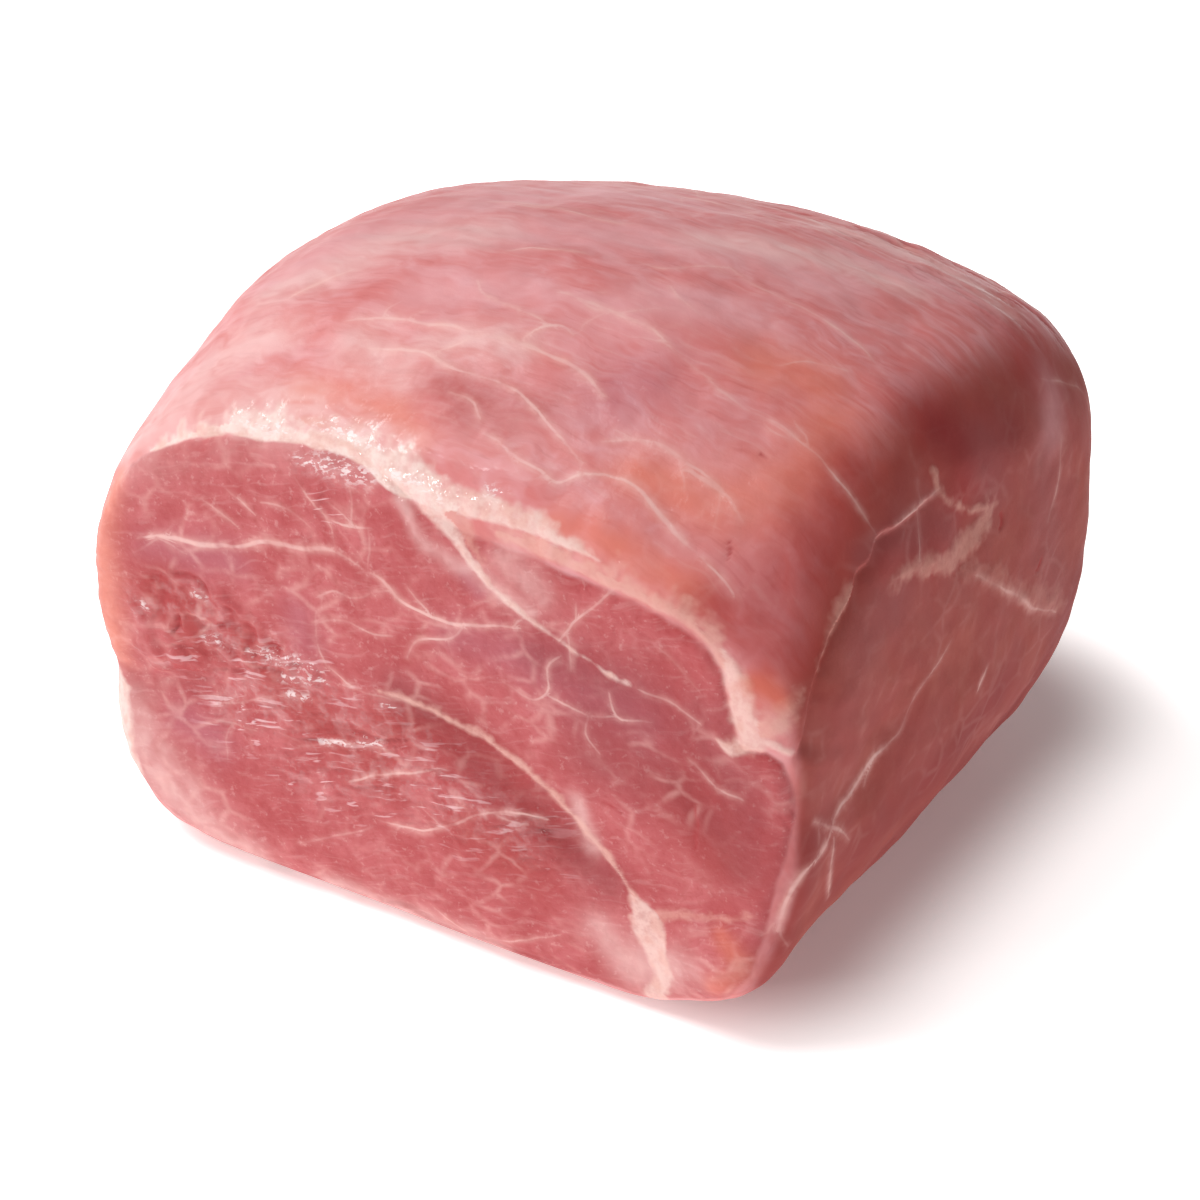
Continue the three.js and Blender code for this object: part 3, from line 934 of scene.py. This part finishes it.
def relief():
    """How far the surface stands out of the plain solid in mm, and how much painted shade darkens it where
    it gapes and where it is furrowed.
    """
    swell = Noise(11).layers(POINTS / 17.0, 3) * SWELL
    on_skin, furrows = skin_relief(swell)
    on_cut, gaps = cut_relief(swell)
    steps = ledge(RIDGE, *RIDGE_STEP)
    steps += ledge([(x, y, 1.0) for x, y, _ in LOWER_SEAM], *SEAM_STEP)
    steps += ledge(FLAP, *FLAP_STEP)
    upper = smooth(30, 60, POINTS[:, 2])
    edge = (0.15 + 0.25 * upper) * np.exp(-((CUT - 2.4) / 1.8)**2)
    edge -= (0.12 + 0.18 * upper) * np.exp(-((CUT + 0.2) / 0.7)**2)
    lumps = Noise(18)(POINTS / 4.0) * FAT_LUMPS + Noise(19)(POINTS / 1.6) * FAT_GRAINS
    fat = smooth(0.3, 0.95, FAT) * (FAT_HEIGHT + lumps)
    creases = hollows(CREASES)
    on_skin = on_skin * (1 - SIDE_CALM * SIDE)
    height = swell * (1 - 0.4 * ON_CUT) + on_skin * (1 - ON_CUT) * (1 - FAT) + on_cut * ON_CUT * (1 - FAT)
    above_floor = smooth(0.5, 6.0, POINTS[:, 2])
    height += edge + fat + VEIN_HEIGHT * VEIN_SOFT + NUB_HEIGHT * NUB + steps - CREASE_DEPTH * creases
    return height * above_floor, np.clip(gaps * ON_CUT + 0.6 * creases, 0, 1), furrows


# ---------------------------------------------------------------- the bake's map
CHARTS = {  # axis the chart faces, sign, and its place on the map: left, bottom, width, height
    "cut": (1, -1, (0.01, 0.51, 0.48, 0.48)),
    "top": (2, 1, (0.51, 0.51, 0.48, 0.48)),
    "right": (0, 1, (0.01, 0.01, 0.48, 0.48)),
    "left": (0, -1, (0.51, 0.26, 0.24, 0.24)),
    "end": (1, 1, (0.76, 0.26, 0.23, 0.24)),
    "base": (2, -1, (0.51, 0.01, 0.24, 0.24)),
}


def map_charts(mesh):
    """Lays the six sides of the block flat, side by side."""
    corners = np.empty(len(mesh.loops), np.int32)
    mesh.loops.foreach_get("vertex_index", corners)
    totals = np.empty(len(mesh.polygons), np.int32)
    mesh.polygons.foreach_get("loop_total", totals)
    faces = np.repeat(np.arange(len(totals)), totals)
    facing = np.zeros((len(totals), 3))
    np.add.at(facing, faces, NORMALS[corners])
    axis = np.abs(facing).argmax(axis=1)
    sign = np.sign(facing[np.arange(len(axis)), axis])
    spread = np.zeros((len(corners), 2))
    low, high = POINTS.min(axis=0), POINTS.max(axis=0)
    share = (POINTS - low) / (high - low)
    for face_axis, face_sign, (left, bottom, width, height) in CHARTS.values():
        here = ((axis == face_axis) & (sign == face_sign))[faces]
        across, along = [k for k in range(3) if k != face_axis]
        spread[here, 0] = left + share[corners[here], across] * width
        spread[here, 1] = bottom + share[corners[here], along] * height
    layer = mesh.uv_layers.new(name="OFBake")
    layer.data.foreach_set("uv", spread.astype(np.float32).ravel())


# ---------------------------------------------------------------- material
def paint(red, green, blue):
    """A colour given as it looks on a screen, 0 to 255, as the shader wants it."""
    def straight(value):
        value /= 255
        return value / 12.92 if value <= 0.04045 else ((value + 0.055) / 1.055)**2.4
    return (straight(red), straight(green), straight(blue), 1.0)


MEAT_SKIN = paint(225, 156, 159)
MEAT_SKIN_RED = paint(212, 120, 118)
MEAT_CUT = paint(197, 101, 104)
MEAT_CUT_RED = paint(179, 73, 76)
# The right side's browner lean, darkened further as painted shade.
MEAT_SHADED_SIDE = paint(170, 88, 79)
MEAT_SHADED_SIDE_RED = paint(160, 68, 60)
# The meat's deeper red, also laid on as painted shade.
MEAT_DEEP_RED_AND_SHADE = paint(165, 48, 44)
# Painted shade colour.
MEAT_SHADE = paint(134, 38, 44)
# Painted shade colour for the right side.
MEAT_MAUVE_SHADE = paint(156, 82, 82)
MEAT_EMBER = paint(216, 104, 76)
# Painted shade colour for the splits and creases.
MEAT_GAP_SHADE = paint(168, 40, 44)
MEAT_VIOLET = paint(176, 98, 112)
MEAT_PEACH = paint(224, 122, 100)
# Salmon tone with a painted glow of light through the edge.
MEAT_RIM_GLOW = paint(236, 148, 128)
# Pale veil colour, also used as a painted sheen.
MEAT_BLOOM_AND_SHEEN = paint(230, 172, 176)
# Pale membrane colour, also used for a painted soft highlight.
MEMBRANE_AND_SHEEN = paint(236, 192, 188)
FAT_WHITE = paint(243, 218, 210)
# Painted highlight colour for the wet glints.
PAINTED_GLINT_WHITE = paint(252, 240, 240)
FAT_CREAM = paint(228, 172, 157)
VEIN_PALE = paint(236, 184, 176)
VEIN_CORE = paint(242, 206, 200)
# Painted highlight colour for the glints on the wet strands.
PAINTED_STREAK_GLINT = paint(240, 196, 200)


class Wiring:
    """Short ways to add and join the nodes of a material."""

    def __init__(self, material):
        self.nodes = material.node_tree.nodes
        self.links = material.node_tree.links

    def set(self, socket, value):
        if isinstance(value, bpy.types.NodeSocket):
            self.links.new(value, socket)
        else:
            socket.default_value = value

    def node(self, kind, inputs, **settings):
        """Adds a node, sets what it does and gives each input its value or its link."""
        node = self.nodes.new("ShaderNode" + kind)
        for name, value in settings.items():
            setattr(node, name, value)
        for key, value in inputs.items():
            self.set(node.inputs[key], value)
        return node

    def channel(self, name):
        return self.node("Attribute", {}, attribute_name=name).outputs["Fac"]

    def place(self, scale, slope=0.0):
        """The place on the meat, in its own frame, tipped in the plane of the cut and then scaled."""
        source = self.node("TexCoord", {}).outputs["Object"]
        inputs = {"Vector": source, "Rotation": (0, -slope, 0), "Scale": [1 / size for size in scale]}
        return self.node("Mapping", inputs, vector_type="TEXTURE").outputs["Vector"]

    def shifted(self, vector, amount, by):
        """A place moved by a noise's colour, so that a pattern doesn't look regular."""
        inputs = {0: by, 1: (amount,) * 3, 2: vector}
        return self.node("VectorMath", inputs, operation="MULTIPLY_ADD").outputs[0]

    def noise(self, vector, scale=1.0, detail=2.0, roughness=0.55, output="Fac"):
        inputs = {"Vector": vector, "Scale": scale, "Detail": detail, "Roughness": roughness}
        return self.node("TexNoise", inputs).outputs[output]

    def cells(self, vector, feature, output):
        """Cells about one unit wide: a random tone for each, or the distance to the border between them."""
        return self.node("TexVoronoi", {"Vector": vector, "Scale": 1.0}, feature=feature).outputs[output]

    def vector(self, operation, first, second=(0, 0, 0)):
        node = self.node("VectorMath", {0: first, 1: second}, operation=operation)
        return node.outputs["Value" if operation == "LENGTH" else "Vector"]

    def math(self, operation, first, second=0.0, third=0.0):
        return self.node("Math", {0: first, 1: second, 2: third}, operation=operation).outputs[0]

    def times(self, first, second):
        return self.math("MULTIPLY", first, second)

    def rise(self, value, low, high, least=0.0, most=1.0):
        """An S curve from least to most as a value goes from low to high."""
        inputs = {"Value": value, "From Min": low, "From Max": high, "To Min": least, "To Max": most}
        return self.node("MapRange", inputs, interpolation_type="SMOOTHSTEP").outputs["Result"]

    def blend(self, share, first, second):
        return self.node("Mix", {0: share, 6: first, 7: second}, data_type="RGBA").outputs[2]

    def bump(self, height, distance):
        return self.node("Bump", {"Strength": 1.0, "Distance": distance, "Height": height})


class MeatPatterns:
    """The noises that the parts of the meat's material share."""

    def __init__(self, w):
        self.w = w
        place = w.place((1, 1, 1))
        self.slow = w.noise(place, 45)
        self.patches = w.noise(place, 110, 3)
        self.fine = w.noise(place, 330)
        self.grit = w.noise(place, 650, 2, 0.7)
        self.warp = w.noise(place, 60, output="Color")
        self.on_cut = w.rise(w.channel("cut_depth"), -0.5, 0.5)
        self.skin_bands = self.fibres((22, 240, 22), 4)
        self.bundles = w.shifted(w.place((130, 150, 190), FIBRE_SLOPE), 1.1, self.warp)

    def fibres(self, scale, bend, slope=0.0, roughness=0.6):
        """A noise drawn out along the fibres: round the joint on its skin, nearly level on its cut."""
        w = self.w
        return w.noise(w.shifted(w.place(scale, slope), bend, self.warp), 1, 2, roughness)


# In the layers below, w is the material's Wiring and p is its MeatPatterns.
def lean_skin(w, p):
    """Lean meat under the membrane, duller on the right side and darker there, partly its own browner tone
    and partly painted shade.
    """
    colour = w.blend(w.rise(p.skin_bands, 0.28, 0.78), MEAT_SKIN_RED, MEAT_SKIN)
    colour = w.blend(w.rise(p.slow, 0.35, 0.7, 0, 0.35), colour, MEAT_SKIN_RED)
    fibre = p.fibres((35, 900, 35), 5)
    colour = w.blend(w.rise(fibre, 0.52, 0.75, 0, 0.16), colour, MEMBRANE_AND_SHEEN)
    colour = w.blend(w.rise(fibre, 0.25, 0.45, 0.20, 0), colour, MEAT_DEEP_RED_AND_SHADE)
    # Painted shade: a darker copy of the lean on the right side, which faces away from the light.
    side = w.blend(w.rise(p.patches, 0.3, 0.7), MEAT_SHADED_SIDE_RED, MEAT_SHADED_SIDE)
    side = w.blend(w.rise(p.slow, 0.40, 0.65, 0, 0.10), side, MEAT_VIOLET)
    return w.blend(w.channel("side"), colour, side)


def lean_cut(w, p):
    """Cut fibres: bundles, grain, and wet strands low on the left, with painted glints along them."""
    colour = w.blend(w.rise(p.patches, 0.35, 0.65), MEAT_CUT_RED, MEAT_CUT)
    tones = w.cells(p.bundles, "F1", "Color")
    colour = w.blend(w.rise(tones, 0.0, 1.0, 0, 0.42), colour, MEAT_CUT_RED)
    fibre = p.fibres((70, 300, 800), 6, FIBRE_SLOPE)
    colour = w.blend(w.rise(fibre, 0.52, 0.75, 0, 0.14), colour, MEMBRANE_AND_SHEEN)
    colour = w.blend(w.rise(fibre, 0.25, 0.45, 0.22, 0), colour, MEAT_DEEP_RED_AND_SHADE)
    colour = w.blend(w.rise(p.grit, 0.30, 0.48, 0.24, 0), colour, MEAT_DEEP_RED_AND_SHADE)
    colour = w.blend(w.rise(p.grit, 0.58, 0.74, 0, 0.20), colour, MEMBRANE_AND_SHEEN)
    strands = p.fibres((130, 300, 1000), 3, FIBRE_SLOPE, 0.5)
    # Painted glints: pale streaks of wet highlight along the strands.
    painted_glint_streaks = w.times(w.rise(strands, 0.58, 0.68, 0, 0.8), w.channel("streak"))
    return w.blend(painted_glint_streaks, colour, PAINTED_STREAK_GLINT)


# The channel of each tint, how much of it is laid on, and its colour. Some are painted light: the shade
# tints on the cut and on the right side are painted shade, the deep red is partly painted shade, and the
# orange border, the top's lavender veil and the pale streaks are partly painted glow, sheen and highlight.
TINT_TONES = [
    ("bloom_and_sheen", 0.60, MEAT_BLOOM_AND_SHEEN), ("peach", 0.70, MEAT_PEACH), ("rim_glow", 0.80, MEAT_RIM_GLOW),
    ("violet", 0.55, MEAT_VIOLET), ("deep", 0.72, MEAT_DEEP_RED_AND_SHADE), ("shade", 0.60, MEAT_SHADE),
    ("mauve_shade", 0.62, MEAT_MAUVE_SHADE),
]


def with_tints(w, p, colour):
    mottling = w.rise(p.patches, 0.32, 0.68, 0.7, 1.0)
    for name, share, tone in TINT_TONES:
        colour = w.blend(w.times(w.channel(name), w.times(mottling, share)), colour, tone)
    # Painted shade darkens the furrows and cracks behind on the top.
    colour = w.blend(w.times(w.channel("furrow_shade"), 0.7), colour, MEAT_DEEP_RED_AND_SHADE)
    # Pale membrane, and on the top left a painted soft highlight.
    pale = w.times(w.channel("pale"), w.rise(p.skin_bands, 0.30, 0.72, 0.35, 0.70))
    return w.blend(pale, colour, MEMBRANE_AND_SHEEN)


def with_marbling(w, p, colour):
    """A faint net of connective tissue round the bundles."""
    net = w.rise(w.cells(p.bundles, "DISTANCE_TO_EDGE", "Distance"), 0.0, 0.16, 1, 0)
    net = w.times(net, w.rise(p.patches, 0.40, 0.66, 0.0, 0.34))
    net = w.times(net, w.rise(p.slow, 0.40, 0.60, 0.15, 1))
    net = w.times(net, w.rise(p.on_cut, 0, 1, 0.25, 1))
    return w.blend(net, colour, VEIN_PALE)


def with_veins(w, p, colour):
    """A soft line along each vein and, where it shows strongly, a thin pale core."""
    core = w.rise(w.math("ABSOLUTE", w.channel("vein_side")), 0.3, 1.5, 1, 0)
    core = w.times(core, w.channel("vein_shows"))
    core = w.times(core, w.rise(p.patches, 0.35, 0.62, 0.15, 0.70))
    core = w.times(core, w.rise(p.on_cut, 0, 1, 0.70, 1.0))
    colour = w.blend(core, colour, VEIN_CORE)
    soft = w.times(w.channel("vein_soft"), w.rise(p.fine, 0.30, 0.65, 0.15, 0.55))
    return w.blend(soft, colour, VEIN_PALE)


def with_fat(w, p, colour):
    """Fat with a ragged border, whiter where it is thick."""
    ragged = w.math("MULTIPLY_ADD", w.math("SUBTRACT", p.patches, 0.5), 0.6, w.channel("fat"))
    ragged = w.math("MULTIPLY_ADD", w.math("SUBTRACT", p.fine, 0.5), 0.8, ragged)
    hides = w.channel("fat_hides")
    fat = w.times(w.rise(ragged, 0.22, 0.92), hides)
    fat = w.times(fat, w.rise(p.grit, 0.30, 0.60, 0.75, 1.0))
    tone = w.blend(w.rise(hides, 0.55, 0.9), FAT_CREAM, FAT_WHITE)
    tone = w.blend(w.rise(p.fine, 0.42, 0.70, 0, 0.55), tone, FAT_CREAM)
    return w.blend(fat, colour, tone)


def with_accents(w, p, colour):
    """The warm spot in the wedge of fat, painted shade in the deep gaps, and small painted glints of wet
    highlight.
    """
    colour = w.blend(w.times(w.channel("ember"), 0.62), colour, MEAT_EMBER)
    # Painted shade in the splits, the hollows between the crumbs and the creases.
    colour = w.blend(w.channel("gap"), colour, MEAT_GAP_SHADE)
    # Painted glints: white specks of wet highlight in the colour.
    specks = p.fibres((620, 620, 1300), 5, FIBRE_SLOPE)
    glints = w.times(w.channel("glint"), w.rise(specks, 0.51, 0.61, 0.06, 0.68))
    return w.blend(glints, colour, PAINTED_GLINT_WHITE)


def wet_film(w, p, shader):
    """A gentle grain below, and a wet film above it that catches small lights where it is thick."""
    surface = w.bump(w.times(p.grit, w.rise(p.on_cut, 0, 1, 0.4, 1.0)), 0.14 * MM).outputs["Normal"]
    w.set(shader.inputs["Normal"], surface)
    film = w.bump(p.fine, 0.4 * MM)
    w.set(film.inputs["Normal"], surface)
    w.set(shader.inputs["Coat Normal"], film.outputs["Normal"])
    # The right side is dull and bare of film, and the rest is moist.
    roughness = w.rise(p.patches, 0.3, 0.7, 0.42, 0.56)
    side = w.channel("side")
    w.set(shader.inputs["Roughness"], w.math("MULTIPLY_ADD", side, 0.30, roughness))
    wet = w.times(w.channel("gloss"), w.rise(p.fine, 0.45, 0.60, 0.10, 1.0))
    w.set(shader.inputs["Coat Weight"], w.times(w.rise(wet, 0, 1, 0.08, 0.9), w.rise(side, 0, 1, 1, 0)))
    shader.inputs["Coat Roughness"].default_value = 0.12


def meat_material():
    material = bpy.data.materials.new("raw_pork_meat")
    material.use_nodes = True
    w = Wiring(material)
    p = MeatPatterns(w)
    shader = w.nodes["Principled BSDF"]
    colour = w.blend(p.on_cut, lean_skin(w, p), lean_cut(w, p))
    for layer in (with_tints, with_marbling, with_veins, with_fat, with_accents):
        colour = layer(w, p, colour)
    w.set(shader.inputs["Base Color"], colour)
    wet_film(w, p, shader)
    shader.inputs["IOR"].default_value = 1.39
    shader.inputs["Specular IOR Level"].default_value = 0.36
    return material


# ---------------------------------------------------------------- the piece
def keep_channel(mesh, name, values):
    mesh.attributes.new(name, "FLOAT", "POINT").data.foreach_set("value", values.astype(np.float32))


def dressed_meat():
    map_charts(skin)
    height, gaps, furrows = relief()
    raised = (POINTS + NORMALS * height[:, None]) * MM
    skin.vertices.foreach_set("co", raised.astype(np.float32).ravel())
    channels = {
        "cut_depth": CUT, "fat": FAT, "fat_hides": FAT_HIDES,
        "vein_side": VEIN_SIDE, "vein_shows": VEIN_SHOWS,
        "vein_soft": VEIN_SOFT, "gap": gaps, "streak": STREAK, "side": SIDE, "furrow_shade": furrows, **TINTS,
    }
    for name, values in channels.items():
        keep_channel(skin, name, values)
    skin.materials.clear()
    skin.materials.append(meat_material())
    skin.polygons.foreach_set("use_smooth", np.ones(len(skin.polygons), bool))
    skin.update()
    piece = bpy.data.objects.new("pork_leg_meat", skin)
    bpy.context.scene.collection.objects.link(piece)
    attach(piece, "root")
    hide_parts(NODE)
    return piece


# ---------------------------------------------------------------- studio
FLOOR_SIDE = 6.0
FLOOR_WHITE = (0.90, 0.885, 0.88, 1.0)
GLOW_MIDDLE = (0, 0.005, 0)
GLOW_INSIDE = (0.045, 0.042, 1.0)
GLOW_START = 0.017
GLOW_END = 0.047
GLOW_LEAST = 0.12
GLOW_MOST = 0.82


def plain_floor():
    half = FLOOR_SIDE / 2
    corners = [(-half, -half, 0), (half, -half, 0), (half, half, 0), (-half, half, 0)]
    mesh = bpy.data.meshes.new("floor")
    mesh.from_pydata(corners, [], [(0, 1, 2, 3)])
    material = bpy.data.materials.new("floor_white")
    material.use_nodes = True
    w = Wiring(material)
    shader = w.nodes["Principled BSDF"]
    shader.inputs["Base Color"].default_value = FLOOR_WHITE
    # A light table: it glows to white around the meat, so that only the shadow close to it stays.
    shader.inputs["Emission Color"].default_value = (1.0, 0.985, 0.98, 1.0)
    centred = w.vector("SUBTRACT", w.place((1, 1, 1)), GLOW_MIDDLE)
    outside = w.vector("SUBTRACT", w.vector("ABSOLUTE", centred), GLOW_INSIDE)
    reach = w.vector("LENGTH", w.vector("MAXIMUM", outside, (0, 0, 0)))
    w.set(shader.inputs["Emission Strength"], w.rise(reach, GLOW_START, GLOW_END, GLOW_LEAST, GLOW_MOST))
    shader.inputs["Roughness"].default_value = 0.8
    shader.inputs["Specular IOR Level"].default_value = 0.1
    mesh.materials.append(material)
    floor = bpy.data.objects.new("floor", mesh)
    bpy.context.scene.collection.objects.link(floor)


def softbox(name, place, aim, side, watts, colour=(1.0, 1.0, 1.0)):
    light = bpy.data.lights.new(name, "AREA")
    light.shape = "DISK"
    light.size = side
    light.energy = watts
    light.color = colour
    lamp = bpy.data.objects.new(name, light)
    lamp.location = place
    lamp.rotation_euler = (Vector(aim) - Vector(place)).to_track_quat("-Z", "Y").to_euler()
    bpy.context.scene.collection.objects.link(lamp)


def studio():
    plain_floor()
    softbox("key", (-0.55, -0.42, 1.36), (0, 0, 0.05), 0.85, 17.4)
    softbox("left sheen", (-1.15, 0.05, 0.85), (0, 0, 0.08), 0.45, 2.0)
    softbox("front glint", (-0.50, -1.20, 0.30), (0, 0, 0.05), 0.12, 1.6)
    world = bpy.data.worlds.new("white_room")
    world.use_nodes = True
    sky = world.node_tree.nodes["Background"]
    sky.inputs["Color"].default_value = (1.0, 0.99, 0.985, 1.0)
    sky.inputs["Strength"].default_value = 0.17
    bpy.context.scene.world = world


def photo_camera():
    lens = bpy.data.cameras.new("photo_camera")
    lens.lens = CAMERA_LENS
    lens.sensor_width = SENSOR
    lens.sensor_fit = "HORIZONTAL"
    camera = bpy.data.objects.new("photo_camera", lens)
    camera.location = Vector(CAMERA_PLACE * MM)
    aim = Vector(CAMERA_AIM * MM)
    camera.rotation_euler = (aim - camera.location).to_track_quat("-Z", "Y").to_euler()
    bpy.context.scene.collection.objects.link(camera)
    bpy.context.scene.camera = camera


dressed_meat()
studio()
photo_camera()
bpy.context.scene.view_settings.view_transform = "Standard"
